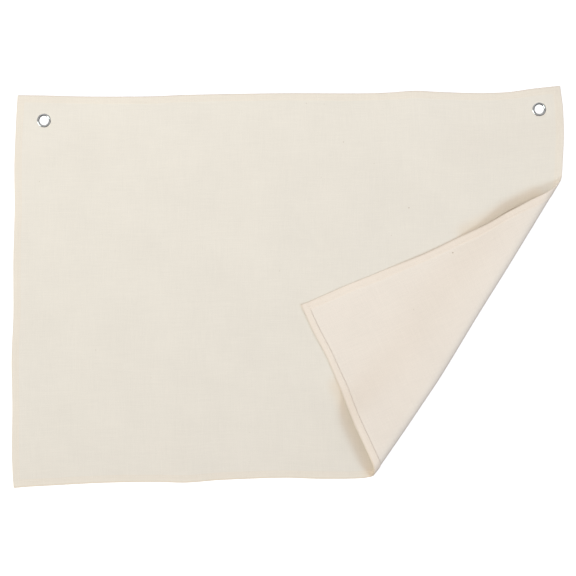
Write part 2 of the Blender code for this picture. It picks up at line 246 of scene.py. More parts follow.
# Folds flat points over: their new x and y, height, and share of the way over
def folded(x, y):
    out, at = creasePlace(x, y)
    start, roll = atStation("start", at), atStation("roll", at)
    over = np.clip((out - start) / roll, 0.0, 1.0)
    place = np.clip(over * crease["steps"], 0, crease["steps"] - 0.001)
    step = place.astype(int)
    share = place - step
    low, near = stationPlace(at)

    def section(values):
        one = values[low, step] * (1 - share) + values[low, step + 1] * share
        two = values[low + 1, step] * (1 - share) + values[low + 1, step + 1] * share
        return one * (1 - near) + two * near

    rolledOut = start + section(stations["out"])
    newOut = np.where(over <= 0, out, np.where(over >= 1, atStation("flap", at) - out, rolledOut))
    height = np.where(over <= 0, 0.0, np.where(over >= 1, flapRise, section(stations["height"])))
    return (newOut * outward[0] + at * upward[0], newOut * outward[1] + at * upward[1], height, over)


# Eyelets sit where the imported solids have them
eyelets = {
    "nodes": ("eyelet_left", "eyelet_right"),
    "washers": ("washer_left", "washer_right"),
    "clinchThickness": 0.5,
    "washerThickness": 0.5,
    "clothLift": 1.1,
    "bore": 6.0,
    "barrel": 6.4,
    "flange": 9.25,
    "flangeHeight": 1.35,
    "clinch": 8.0,
    "washer": 9.4,
    "steps": 128,
    "liftFlat": 12.5,
    "liftReach": 48.0,
    "press": 0.16,
    "rings": [6.7, 7.6, 8.6, 9.25, 9.8, 10.5, 11.6, 13.4],
}
eyeletCentres = []
for node in eyelets["nodes"]:
    lowest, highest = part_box(node)
    eyeletCentres.append(((lowest.x + highest.x) / 2 / mm, (lowest.y + highest.y) / 2 / mm))


# Height of the swells and of the rise round each eyelet
def swellHeight(along, up, x, y):
    height = np.zeros_like(along)
    for row in swells:
        away = np.hypot((along - row[0]) / row[2], (up - row[1]) / row[3])
        height += row[4] * ease(1 - away)
    for centre in eyeletCentres:
        away = np.hypot(x - centre[0], y - centre[1])
        near = ease(1 - (away - eyelets["liftFlat"]) / (eyelets["liftReach"] - eyelets["liftFlat"]))
        height = height * (1 - near) + eyelets["clothLift"] * near
        dent = ease((10.6 - away) / 1.6) - 0.6 * np.exp(-((away - 11.0) / 0.9) ** 2)
        height -= eyelets["press"] * dent
    return height


waves = {side: [(length, chance.uniform(0, math.tau)) for length in (8.7, 12.9, 21.5, 63.0, 117.0)]
         for side in ("lower", "upper", "left", "right")}


def wave(side, at, which):
    picked = [waves[side][index] for index in which]
    return sum(np.sin(math.tau * at / length + phase) for length, phase in picked) / len(picked)


# How far in from each edge, and the place along it
def sides(along, up):
    return {"lower": (up, along), "upper": (cloth["height"] - up, along),
            "left": (along, up), "right": (cloth["width"] - along, up)}


def sideLength(side):
    return cloth["width"] if side in ("lower", "upper") else cloth["height"]


# The other way round: where the cloth lies so far in from a side
def fromSide(side, at, depth):
    return {"lower": (at, depth), "upper": (at, cloth["height"] - depth),
            "left": (depth, at), "right": (cloth["width"] - depth, at)}[side]


# The hem's inner edge wanders a little, and jogs once where its seam was started again
def hemWander(side, at):
    wander = hems["wander"] * wave(side, at, (3, 4))
    if side == "lower":
        wander = wander + hems["jog"] * (ease((at - hems["jogAlong"]) / 3.0) - 0.5)
    return wander


# Everything the hems do: turned layers, face ridge, lift of the cloth beside them, seam groove, puckers
def hemShape(along, up):
    turned, ridge, lift, groove, pucker, fold = (np.zeros((4, *along.shape)) for _ in range(6))
    for index, (side, (inset, at)) in enumerate(sides(along, up).items()):
        hem = hems[side]
        depth = inset + hemWander(side, at) * ease(inset / hems["wanderFrom"]) * ease((40 - inset) / 20)
        inner = hems["width"]
        turned[index] = hem["extra"] * ease((inner + hem["turned"] - depth) / hem["turned"])
        ridge[index] = hems["ridge"] * ease((inner + hems["ridgeSoft"] / 2 - depth) / hems["ridgeSoft"])
        settle = np.clip((depth - inner) / hems["settle"], 0, 1)
        lift[index] = (hem["extra"] - hems["ridge"]) * (1 - ease(settle)) * (1 - settle) ** 0.5
        groove[index] = hems["groove"] * np.exp(-((depth - hems["seamInset"]) / hems["grooveWidth"]) ** 2)
        # painted shade along the turned layers' inner edge, shown on the back
        fold[index] = hem["fold"] * np.exp(-((depth - inner - hem["turned"]) / hems["foldWidth"]) ** 2)
        reach = np.exp(-((depth - 8.0) / hems["puckerReach"]) ** 2)
        pucker[index] = hems["puckerHeight"] * reach * (0.5 + 0.5 * wave(side, at, (0, 1, 2)))
    layers = np.sort(turned, axis=0)
    return {"turned": layers[-1] + hems["overlap"] * layers[-2], "ridge": ridge.max(axis=0),
            "lift": lift.max(axis=0), "groove": groove.max(axis=0), "pucker": pucker.max(axis=0),
            "hem": np.clip(turned.max(axis=0) / 0.45, 0, 1), "fold": fold.max(axis=0)}


# Height of one set of soft lines at lying points
def softHeight(rows, x, y):
    height = np.zeros_like(x)
    for fromX, fromY, toX, toY, half, rise in rows:
        runX, runY = toX - fromX, toY - fromY
        length = math.hypot(runX, runY)
        share = np.clip(((x - fromX) * runX + (y - fromY) * runY) / length ** 2, 0, 1)
        away = np.hypot(x - fromX - share * runX, y - fromY - share * runY)
        height += rise * np.exp(-(away / half) ** 2)
    return height


# How far the lying cloth's underside stands off the floor
def lyingRise(along, up, x, y):
    return cloth["offFloor"] + swellHeight(along, up, x, y) + softHeight(softLines["base"], x, y)


# Middle of the plain thickness, as it lies; the folded part rides on the cloth under it
def clothMiddle(along, up):
    x, y = unfolded(along, up)
    own = lyingRise(along, up, x, y)
    hem = hemShape(along, up)
    x, y, height, over = folded(x, y)
    under = lyingRise(*onCloth(x, y), x, y)
    rise = own * (1 - over) + under * over + hem["lift"] * (1 - ease(over)) + hem["pucker"]
    rise += ease(over * 2 - 1) * softHeight(softLines["flap"], x, y)
    return np.stack([x, y, cloth["thickness"] / 2 + height + rise], axis=-1), over, hem


# The face and back points of the cloth, with the directions that the face looks in
def clothFaces(along, up):
    middle, over, hem = clothMiddle(along, up)
    step = 0.25
    run = clothMiddle(along + step, up)[0] - clothMiddle(along - step, up)[0]
    climb = clothMiddle(along, up + step)[0] - clothMiddle(along, up - step)[0]
    normal = np.cross(run, climb)
    normal /= np.linalg.norm(normal, axis=-1, keepdims=True)
    inset = np.minimum.reduce([up, cloth["height"] - up, along, cloth["width"] - along])
    rounding = np.sqrt(np.clip(1 - (1 - np.clip(inset / cloth["edgeRound"], 0.06, 1)) ** 2, 0, 1))
    face = (cloth["thickness"] / 2 + hem["ridge"] * (1 - ease(over)) - hem["groove"])
    back = (cloth["thickness"] + hem["turned"]) - (face + hem["groove"]) - hem["groove"]
    centre, half = (face - back) / 2, (face + back) / 2 * rounding
    return (middle + normal * (centre + half)[..., None], middle + normal * (centre - half)[..., None],
            normal, over, hem)


def spaced(start, end, spacing):
    count = max(1, round(abs(end - start) / spacing))
    return start + (end - start) * np.arange(count + 1) / count


# The flat layout: loops along the hems, lines along the crease, rings round the eyelets, and free points
def clothLayout():
    points, lines = [], []

    def addLine(along, up, closed=False):
        first = len(points)
        points.extend(zip(along, up))
        count = len(along)
        lines.extend((first + i, first + i + 1) for i in range(count - 1))
        if closed:
            lines.append((first + count - 1, first))

    width, height = cloth["width"], cloth["height"]
    for inset in [0.0] + hems["insets"]:
        loop = []
        for side in ("lower", "right", "upper", "left"):
            length = sideLength(side)
            at = spaced(inset, length - inset, cloth["hemSpacing"])[:-1]
            if side in ("upper", "left"):
                at = length - at
            nearCorner = np.minimum(at, length - at)
            depth = inset - hemWander(side, at) * ease(inset / hems["wanderFrom"]) * ease(nearCorner / 14 - 1)
            loop += list(zip(*fromSide(side, at, depth)))
        addLine([point[0] for point in loop], [point[1] for point in loop], closed=True)

    # lines close together round the nose of the roll, and wider apart over its top and slope
    at = spaced(-175.0, 345.0, 5.0)
    nose = atStation("nose", at)
    for step in range(41):
        share = nose * (step / 24) ** 1.25 if step < 24 else nose + (1 - nose) * (step - 24) / 16
        out = atStation("start", at) + share * atStation("roll", at)
        along, up = onCloth(out * outward[0] + at * upward[0], out * outward[1] + at * upward[1])
        inside = (along > 0.3) & (along < width - 0.3) & (up > 0.3) & (up < height - 0.3)
        addLine(along[inside], up[inside])

    for centre in eyeletCentres:
        for radius in eyelets["rings"]:
            count = 72 if radius < 10 else 48
            angle = math.tau * np.arange(count) / count
            x, y = centre[0] + radius * np.cos(angle), centre[1] + radius * np.sin(angle)
            addLine(*onCloth(x, y), closed=True)

    margin = hems["insets"][-1] + 2.0
    along, up = np.meshgrid(spaced(margin, width - margin, cloth["spacing"]),
                            spaced(margin, height - margin, cloth["spacing"]))
    along, up = along.ravel(), up.ravel()
    x, y = unfolded(along, up)
    out, at = creasePlace(x, y)
    past = out - atStation("start", at)
    free = (past < -2.0) | (past > atStation("roll", at) + 2.0)
    for centre in eyeletCentres:
        free &= np.hypot(x - centre[0], y - centre[1]) > eyelets["rings"][-1] + 2.0
    points.extend(zip(along[free], up[free]))
    return points, lines


# Triangles of the layout that belong to the cloth
def clothTriangles():
    points, lines = clothLayout()
    found, _, triangles, _, _, _ = delaunay_2d_cdt([Vector(point) for point in points], lines, [], 0, 0.01)
    flat = np.array([tuple(point) for point in found])
    triangles = np.array(triangles, int)
    centre = flat[triangles].mean(axis=1)
    inside = ((centre[:, 0] > 0) & (centre[:, 0] < cloth["width"])
              & (centre[:, 1] > 0) & (centre[:, 1] < cloth["height"]))
    x, y = unfolded(centre[:, 0], centre[:, 1])
    for place in eyeletCentres:
        inside &= np.hypot(x - place[0], y - place[1]) > eyelets["rings"][0] - 0.01
    triangles = triangles[inside]
    used = np.unique(triangles)
    renumber = np.zeros(len(flat), int)
    renumber[used] = np.arange(len(used))
    return flat[used], renumber[triangles]


def newObject(name, points, faces, material, smooth=True):
    mesh = bpy.data.meshes.new(name)
    mesh.from_pydata((np.asarray(points) * mm).tolist(), [], [tuple(map(int, face)) for face in faces])
    mesh.validate()
    mesh.materials.append(material)
    if smooth:
        mesh.shade_smooth()
    made = bpy.data.objects.new(name, mesh)
    bpy.context.scene.collection.objects.link(made)
    return made


# Where painted shade darkens the cloth's colour. Places, widths and reaches are in mm.
paintedShades = {
    "edgeShadeWidth": 1.4,          # painted shade: the browner line along the lower edge
    "tip": (454, 6),           # where the roll meets that edge, painted shade round the tip
    "tipReach": 11,
    "tipShare": 0.6,
    "slotShadeWidth": 1.6,          # painted shade on the flap's rim over the gap under it, darker up the right side in two steps
    "slotShadeSteps": [(110, 60, 0.3), (235, 80, 0.7)],
    "slotShadeLower": 0.2,
    "lowerEnd": (462, 585),    # along the lower and up the right edge, where the roll is open
    "upperEnd": (235, 335),
    "endPoints": 60,
    "mouthShadeReach": 17.0,
}


# Shares of the painted shades at every point of the face: along the lower edge and round the roll's tip, on
# the flap's rim over the gap under it, and beside the roll's open ends
def paintedShadeShares(flat, face, over):
    along, up = flat[:, 0], flat[:, 1]
    # painted shade: a browner line along the lower edge, fading over the roll, and a darker patch round the
    # roll's tip on that edge
    tip = np.hypot(along - paintedShades["tip"][0], up - paintedShades["tip"][1])
    edgeAndTipShade = np.maximum(ease(1.5 - up / paintedShades["edgeShadeWidth"]) * ease(1.4 - over * 3),
                      paintedShades["tipShare"] * np.exp(-(tip / paintedShades["tipReach"]) ** 2))
    # painted shade: the flap's rim is painted dark brown over the gap under its edge, up the right side and a
    # little along the lower side
    deepen = sum(share * ease((up - start) / length) for start, length, share in paintedShades["slotShadeSteps"])
    slotShade = np.maximum(ease(paintedShades["slotShadeWidth"] - (cloth["width"] - along)) * deepen,
                      paintedShades["slotShadeLower"] * ease(paintedShades["slotShadeWidth"] - up))
    slotShade *= ease((over - 0.3) / 0.2)
    # painted shade: beside the roll's two open ends the cloth is painted a little darker and warmer, as the
    # shade under the roll over it
    count = paintedShades["endPoints"]
    lower = folded(*unfolded(np.linspace(*paintedShades["lowerEnd"], count), np.zeros(count)))[:2]
    upper = folded(*unfolded(np.full(count, cloth["width"]), np.linspace(*paintedShades["upperEnd"], count)))[:2]
    ends = np.hstack([lower, upper])
    away = np.hypot(face[:, 0, None] - ends[0], face[:, 1, None] - ends[1]).min(axis=1)
    mouthShadeShare = ease(1.15 - away / paintedShades["mouthShadeReach"]) * (1 - ease(over * 3))
    return edgeAndTipShade, slotShade, mouthShadeShare


# The whole banner cloth as one closed sheet
def makeCloth(material):
    flat, triangles = clothTriangles()
    face, back, _, over, hem = clothFaces(flat[:, 0], flat[:, 1])
    count = len(flat)
    sidesOf = np.concatenate([triangles[:, [0, 1]], triangles[:, [1, 2]], triangles[:, [2, 0]]])
    keys = {(int(a), int(b)) for a, b in sidesOf}
    rim = [pair for pair in keys if (pair[1], pair[0]) not in keys]
    rim.sort()
    faces = [tuple(triangle) for triangle in triangles]
    faces += [tuple(count + triangle[::-1]) for triangle in triangles]
    faces += [(end, start, count + start, count + end) for start, end in rim]
    points = np.concatenate([face, back])
    made = newObject("canvas_banner", points, faces, material)
    mesh = made.data
    places = np.concatenate([flat, flat])
    layerTwo = np.arange(len(points)) >= count
    corner = np.zeros(len(mesh.loops), int)
    mesh.loops.foreach_get("vertex_index", corner)
    cut = mesh.uv_layers.new(name="cutCloth")
    cut.data.foreach_set("uv", (places[corner] * mm).ravel())
    cornerPlace = places[corner].copy()
    # the rim gets a narrow strip of its own round the face's part of the map
    firstRim = 6 * len(triangles)
    rimCorner = np.arange(len(corner)) >= firstRim
    middle = np.array([cloth["width"] / 2, cloth["height"] / 2])
    spread = cornerPlace - middle
    outerRim = rimCorner & layerTwo[corner]
    cornerPlace[outerRim] += 1.2 * np.sign(spread[outerRim]) * (np.abs(spread[outerRim]) > middle - 1.0)
    onBack = layerTwo[corner] & ~rimCorner
    sheetMap = mesh.uv_layers.new(name="OFBake")
    margin = 3.0
    scale = 0.97 / (2 * cloth["height"] + 4 * margin)
    u = (cornerPlace[:, 0] + margin) * scale
    v = (cornerPlace[:, 1] + margin + np.where(onBack, cloth["height"] + 2 * margin, 0)) * scale
    sheetMap.data.foreach_set("uv", np.stack([u, v], axis=-1).ravel())
    # painted shades carried as attributes: along the lower edge and round the roll's tip, on the flap's rim
    # over its gap, beside the roll's open ends, and along the hem's inner edge on the back
    edgeAndTipShade, slotShade, mouthShadeShare = paintedShadeShares(flat, face, over)
    for name, onFace, onBackSide in (("foldWarmth", mouthShadeShare, mouthShadeShare * 0), ("hemShare", hem["hem"], hem["hem"]),
                                     ("hemStepShade", hem["fold"] * 0, hem["fold"]), ("lowerEdgeAndTipShade", edgeAndTipShade, edgeAndTipShade),
                                     ("slotEdgeShade", slotShade, slotShade), ("backSide", np.zeros(count), np.ones(count)),
                                     ("overShare", over, over)):
        values = np.concatenate([onFace, onBackSide])
        mesh.attributes.new(name, "FLOAT", "POINT").data.foreach_set("value", values.astype(np.float32))
    print("cloth:", len(points), "points,", len(triangles) * 2 + len(rim) * 2, "triangles")
    return made


# Seams: a row of short thread stitches on both faces of every hem
seams = {
    "pitch": 3.1,
    "gap": 0.45,
    "thread": 0.17,
    "wobble": 0.06,
    "crossings": 6,
    "rings": 6,
}


def makeStitches(material):
    alongs, ups, sideOf = [], [], []
    share = np.linspace(0, 1, seams["rings"])
    for side in ("lower", "right", "upper", "left"):
        starts = np.arange(2.2, sideLength(side) - 2.2 - seams["pitch"], seams["pitch"])
        if side == "lower":
            starts = np.concatenate([starts, hems["jogAlong"] + 1.3 + seams["pitch"] * np.arange(-2, 3)])
        for shift, isBack in ((0.0, False), (0.5, True)):
            begin = starts + seams["pitch"] * shift + chance.normal(0, 0.08, len(starts))
            at = begin[:, None] + share[None, :] * (seams["pitch"] - seams["gap"])
            drift = chance.normal(0, seams["wobble"], (len(starts), 1))
            inset = hems["seamInset"]
            depth = inset - hemWander(side, at) * ease(inset / hems["wanderFrom"]) + drift
            place = fromSide(side, at, depth)
            alongs.append(place[0])
            ups.append(place[1])
            sideOf.append(np.full(len(starts), isBack))
    along, up, isBack = np.concatenate(alongs), np.concatenate(ups), np.concatenate(sideOf)
    face, back, normal, _, _ = clothFaces(along, up)
    direction = np.where(isBack[:, None, None], -normal, normal)
    surface = np.where(isBack[:, None, None], back, face)
    radius = seams["thread"]
    dip = (2 * share - 1) ** 4
    centre = surface + direction * (radius * (0.55 - 1.7 * dip))[None, :, None]
    heading = np.gradient(centre, axis=1)
    heading /= np.linalg.norm(heading, axis=-1, keepdims=True)
    across = np.cross(heading, direction)
    across /= np.linalg.norm(across, axis=-1, keepdims=True)
    lift = np.cross(across, heading)
    count, rings, crossings = len(along), seams["rings"], seams["crossings"]
    angle = math.tau * np.arange(crossings) / crossings
    slim = radius * (1 - 0.45 * dip)
    ring = (centre[:, :, None, :]
            + across[:, :, None, :] * (np.cos(angle)[None, None, :, None] * slim[None, :, None, None])
            + lift[:, :, None, :] * (np.sin(angle)[None, None, :, None] * slim[None, :, None, None]))
    points = ring.reshape(-1, 3)
    faces = []
    for stitch in range(count):
        base = stitch * rings * crossings
        for step in range(rings - 1):
            for turn in range(crossings):
                one = base + step * crossings + turn
                two = base + step * crossings + (turn + 1) % crossings
                faces.append((one, two, two + crossings, one + crossings))
        faces.append(tuple(base + turn for turn in reversed(range(crossings))))
        faces.append(tuple(base + (rings - 1) * crossings + turn for turn in range(crossings)))
    made = newObject("hem_stitches", points, faces, material)
    print("stitches:", count, "stitches,", len(faces), "faces")
    return made


# A ring turned about Z from its closed profile of (radius, height)
def turnedRing(name, profile, centre, material):
    profile = np.array(profile)
    steps, count = eyelets["steps"], len(profile)
    angle = math.tau * np.arange(steps) / steps
    points = np.stack([centre[0] + np.cos(angle)[:, None] * profile[None, :, 0],
                       centre[1] + np.sin(angle)[:, None] * profile[None, :, 0],
                       np.broadcast_to(profile[None, :, 1], (steps, count))], axis=-1).reshape(-1, 3)
    faces = []
    for step in range(steps):
        following = (step + 1) % steps
        for index in range(count):
            ahead = (index + 1) % count
            faces.append((step * count + index, following * count + index,
                          following * count + ahead, step * count + ahead))
    made = newObject(name, points, faces, material)
    made.data.set_sharp_from_angle(angle=math.radians(50))
    return made


# An arc of a profile, from one angle to another in degrees
def arc(centre, radius, start, end, steps, flatten=1.0):
    angles = np.radians(np.linspace(start, end, steps))
    return [(centre[0] + radius * math.cos(a), centre[1] + flatten * radius * math.sin(a)) for a in angles]


# One-piece eyelet: rolled flange, barrel, and the rim clinched behind the washer
def makeEyelet(name, centre, material):
    foot = eyelets["clothLift"] + cloth["thickness"] - eyelets["press"]
    bore, barrel, flange = eyelets["bore"], eyelets["barrel"], eyelets["flange"]
    thick = eyelets["clinchThickness"]
    rim = eyelets["clinch"] - thick / 2
    middle = (bore + flange) / 2
    half = (flange - bore) / 2
    profile = [(bore, 0.32)]
    profile += arc((middle, foot), half, 180, 0, 27, flatten=eyelets["flangeHeight"] / half)
    profile += [(flange - 0.12, foot - 0.12), (flange - 0.4, foot - 0.05)]
    profile += [(barrel + 0.5, foot + 0.02), (barrel, foot - 0.3), (barrel, thick)]
    profile += [(rim, thick)]
    profile += arc((rim, thick / 2), thick / 2, 80, -80, 7)
    profile += [(rim, 0.0), (bore + 0.3, 0.0), (bore + 0.08, 0.1)]
    return turnedRing(name, profile, centre, material)


def makeWasher(name, centre, material):
    low = eyelets["clinchThickness"] + 0.03
    high = low + eyelets["washerThickness"]
    inner, outer = eyelets["barrel"] + 0.08, eyelets["washer"]
    profile = [(inner + 0.08, low), (inner, low + 0.08), (inner, high - 0.08), (inner + 0.08, high),
               (outer - 0.35, high - 0.04), (outer - 0.08, high - 0.14), (outer, (low + high) / 2),
               (outer - 0.06, low + 0.08), (outer - 0.2, low)]
    return turnedRing(name, profile, centre, material)


# Materials. A small helper keeps the node wiring short: values that are nodes are linked
class Wiring:
    def __init__(self, name):
        self.material = bpy.data.materials.new(name)
        self.material.use_nodes = True
        self.tree = self.material.node_tree
        self.shader = self.tree.nodes["Principled BSDF"]

    def node(self, kind, inputs=None, **settings):
        made = self.tree.nodes.new("ShaderNode" + kind)
        for key, value in settings.items():
            setattr(made, key, value)
        for key, value in (inputs or {}).items():
            self.put(made.inputs[key], value)
        return made

    def put(self, socket, value):
        if isinstance(value, bpy.types.NodeSocket):
            self.tree.links.new(value, socket)
        else:
            socket.default_value = value

    def math(self, operation, *values):
        made = self.node("Math", dict(enumerate(values)), operation=operation)
        return made.outputs[0]

    def combine(self, x, y, z=0.0):
        return self.node("CombineXYZ", {"X": x, "Y": y, "Z": z}).outputs[0]

    def noise(self, where, scale, detail=2.0, roughness=0.5):
        inputs = {"Vector": where, "Scale": scale, "Detail": detail, "Roughness": roughness}
        return self.node("TexNoise", inputs).outputs["Fac"]

    def spread(self, value, fromLow, fromHigh, toLow, toHigh):
        inputs = {0: value, 1: fromLow, 2: fromHigh, 3: toLow, 4: toHigh}
        return self.node("MapRange", inputs).outputs[0]

    def mix(self, factor, one, two, blend="MIX"):
        made = self.node("Mix", data_type="RGBA", blend_type=blend)
        for socket, value in ((made.inputs[0], factor), (made.inputs[6], one), (made.inputs[7], two)):
            if isinstance(value, tuple):
                value = (*value, 1.0)
            self.put(socket, value)
        return made.outputs[2]

    def attribute(self, name):
        return self.node("Attribute", attribute_name=name).outputs["Fac"]


canvasFinish = {
    "face": (0.784, 0.745, 0.670),
    "back": (0.826, 0.760, 0.681),
    "hem": (1.02, 0.997, 0.975),      # a tint on the face and back colours
    "edgeAndTipShade": (0.74, 0.62, 0.47),       # painted shade, a little browner, along the lower edge and round the roll's tip
    "edgeAndTipShadeShare": 0.5,
    "slotShade": (0.25, 0.17, 0.09),       # painted shade: the flap's rim, dark over the gap under it
    "slotShadeShare": 0.8,
    "mouthShadeTint": (0.99, 0.935, 0.875),     # painted shade, a little darker and warmer, beside the open ends of the roll
    "fold": (0.52, 0.40, 0.28),       # painted shade along the turned hem's inner edge on the back
    "foldShare": 0.2,
    "fleck": (0.30, 0.20, 0.11),
    "thread": (0.88, 0.83, 0.75),
    "threadPitch": 0.56,     # mm from one thread of the weave to the next
    "weaveDepth": 0.055,     # mm
    "roughness": 0.92,
    "sheen": 0.12,
    "streak": 0.035,
    "mottle": 0.018,
}

# Cotton-seed flecks worth placing one by one: (along, up, radius, darkness)
flecks = [
    (685, 208, 0.95, 0.40), (506, 348, 0.85, 0.34), (419, 437, 0.7, 0.28), (459, 408, 0.55, 0.22),
    (392, 391, 0.5, 0.18), (372, 487, 0.6, 0.22), (395, 486, 0.5, 0.18), (107, 172, 0.6, 0.24),
    (341, 269, 0.6, 0.22), (32, 390, 0.55, 0.20), (177, 135, 0.55, 0.20), (483, 313, 0.6, 0.22),
    (60, 96, 0.45, 0.15), (300, 60, 0.5, 0.18), (130, 300, 0.5, 0.16), (640, 130, 0.6, 0.20),
]


def canvasMaterial():
    wire = Wiring("ecruCanvas")
    cut = wire.node("UVMap", uv_map="cutCloth").outputs["UV"]
    place = wire.node("VectorMath", {0: cut, "Scale": 1000.0}, operation="SCALE").outputs[0]  # in mm
    split = wire.node("SeparateXYZ", {0: place})
    along, up = split.outputs[0], split.outputs[1]
    pitch = canvasFinish["threadPitch"]
    # threads wander a little from side to side
    driftA = wire.spread(wire.noise(wire.combine(along, up), 0.09, 3.0), 0.0, 1.0, -1.1, 1.1)
    driftB = wire.spread(wire.noise(wire.combine(up, along, 40.0), 0.09, 3.0), 0.0, 1.0, -1.1, 1.1)
    warp = wire.math("DIVIDE", wire.math("ADD", along, driftA), pitch)
    weft = wire.math("DIVIDE", wire.math("ADD", up, driftB), pitch)
    warpSine = wire.math("SINE", wire.math("MULTIPLY", warp, math.pi))
    weftSine = wire.math("SINE", wire.math("MULTIPLY", weft, math.pi))
    crossing = wire.math("MULTIPLY", warpSine, weftSine)
    warpUp = wire.spread(crossing, -0.6, 0.6, 0.25, 1.0)
    weftUp = wire.spread(crossing, -0.6, 0.6, 1.0, 0.25)
    warpHeight = wire.math("MULTIPLY", wire.math("POWER", wire.math("ABSOLUTE", warpSine), 0.6), warpUp)
    weftHeight = wire.math("MULTIPLY", wire.math("POWER", wire.math("ABSOLUTE", weftSine), 0.6), weftUp)
    weave = wire.math("MAXIMUM", warpHeight, weftHeight)
    # slubs: single threads that run thicker for a few centimetres
    warpNumber = wire.math("FLOOR", warp)
    weftNumber = wire.math("FLOOR", weft)
    warpSlub = wire.noise(wire.combine(wire.math("MULTIPLY", warpNumber, 7.3),
                                       wire.math("MULTIPLY", up, 0.035)), 1.0, 2.0)
    weftSlub = wire.noise(wire.combine(wire.math("MULTIPLY", along, 0.035),
                                       wire.math("MULTIPLY", weftNumber, 5.9), 9.0), 1.0, 2.0)
    slub = wire.math("ADD", wire.spread(warpSlub, 0.35, 0.75, -0.5, 0.5),
                     wire.spread(weftSlub, 0.35, 0.75, -0.5, 0.5))
    fuzz = wire.noise(place, 5.0, 3.0, 0.6)
    cloud = wire.noise(place, 0.018, 4.0, 0.55)
    height = wire.math("ADD", wire.math("MULTIPLY", weave, wire.spread(slub, -1.0, 1.0, 0.8, 1.25)),
                       wire.math("MULTIPLY", fuzz, 0.25))
    bump = wire.node("Bump", {"Strength": 1.0, "Distance": canvasFinish["weaveDepth"] * mm, "Height": height})
    wire.put(wire.shader.inputs["Normal"], bump.outputs[0])
    # colour: face, back and hems differ slightly, then the painted shades, streaks, clouds and flecks
    colour = wire.mix(wire.attribute("backSide"), canvasFinish["face"], canvasFinish["back"])
    # hems take a tint of their own; beside the roll's open ends the colour takes painted shade
    for share, tint in (("hemShare", "hem"), ("foldWarmth", "mouthShadeTint")):
        tinted = wire.mix(1.0, colour, canvasFinish[tint], "MULTIPLY")
        colour = wire.mix(wire.attribute(share), colour, tinted)
    # painted shade along the lower edge and round the roll's tip, on the flap's rim over its gap, and along
    # the hem's inner edge
    for share, tint in (("lowerEdgeAndTipShade", "edgeAndTipShade"), ("slotEdgeShade", "slotShade"), ("hemStepShade", "fold")):
        amount = wire.math("MULTIPLY", wire.attribute(share), canvasFinish[tint + "Share"])
        colour = wire.mix(amount, colour, canvasFinish[tint])
    shade = wire.math("ADD", wire.spread(slub, -1.0, 1.0, -canvasFinish["streak"], canvasFinish["streak"]),
                      wire.spread(cloud, 0.25, 0.75, -canvasFinish["mottle"], canvasFinish["mottle"]))
    # painted shade: darker in the weave's gaps, a little lighter on the threads' tops
    weaveGapShade = wire.spread(weave, 0.1, 0.8, -0.10, 0.03)
    shade = wire.math("ADD", wire.math("ADD", shade, weaveGapShade), 1.0)
    colour = wire.mix(1.0, colour, wire.combine(shade, shade, shade), "MULTIPLY")
    # small seed specks everywhere, and the larger ones in their places
    cell = wire.node("TexVoronoi", {"Vector": place, "Scale": 0.055, "Randomness": 1.0})
    speckSize = wire.spread(wire.noise(place, 0.4, 1.0), 0.45, 0.7, 0.0, 0.022)
    speck = wire.spread(wire.math("SUBTRACT", cell.outputs["Distance"], speckSize), -0.004, 0.004, 0.20, 0.0)
    for fleckAlong, fleckUp, radius, darkness in flecks:
        inputs = {0: place, 1: (fleckAlong, fleckUp, 0.0)}
        away = wire.node("VectorMath", inputs, operation="DISTANCE").outputs["Value"]
        spot = wire.spread(away, radius * 0.5, radius * 1.2, darkness * 1.6, 0.0)
        speck = wire.math("MAXIMUM", speck, spot)
    colour = wire.mix(speck, colour, canvasFinish["fleck"])
    wire.put(wire.shader.inputs["Base Color"], colour)
    wire.put(wire.shader.inputs["Roughness"], canvasFinish["roughness"])
    wire.put(wire.shader.inputs["Sheen Weight"], canvasFinish["sheen"])
    wire.put(wire.shader.inputs["Sheen Roughness"], 0.5)
    wire.put(wire.shader.inputs["Specular IOR Level"], 0.15)
    return wire.material


def threadMaterial():
    wire = Wiring("cottonThread")
    place = wire.node("TexCoord").outputs["Object"]
    ply = wire.node("TexWave", {"Vector": place, "Scale": 900.0, "Distortion": 1.5},
                    bands_direction="DIAGONAL")
    tone = wire.noise(place, 260.0, 2.0)
    # painted shade: darker in the grooves between the thread's plies, with tone that differs at random
    shade = wire.math("ADD", wire.spread(ply.outputs["Fac"], 0, 1, 0.90, 1.0),
                      wire.spread(tone, 0.3, 0.7, -0.05, 0.05))
    colour = wire.mix(1.0, canvasFinish["thread"], wire.combine(shade, shade, shade), "MULTIPLY")
    wire.put(wire.shader.inputs["Base Color"], colour)
    wire.put(wire.shader.inputs["Roughness"], 0.8)
    wire.put(wire.shader.inputs["Specular IOR Level"], 0.2)
    bump = wire.node("Bump", {"Strength": 0.6, "Distance": 0.00005, "Height": ply.outputs["Fac"]})
    wire.put(wire.shader.inputs["Normal"], bump.outputs[0])
    return wire.material


metalFinish = {
    "nickel": {"colour": (0.66, 0.66, 0.655), "roughness": (0.05, 0.11), "scratch": 0.000004},
    "washer": {"colour": (0.60, 0.60, 0.59), "roughness": (0.28, 0.45), "scratch": 0.00002},
}


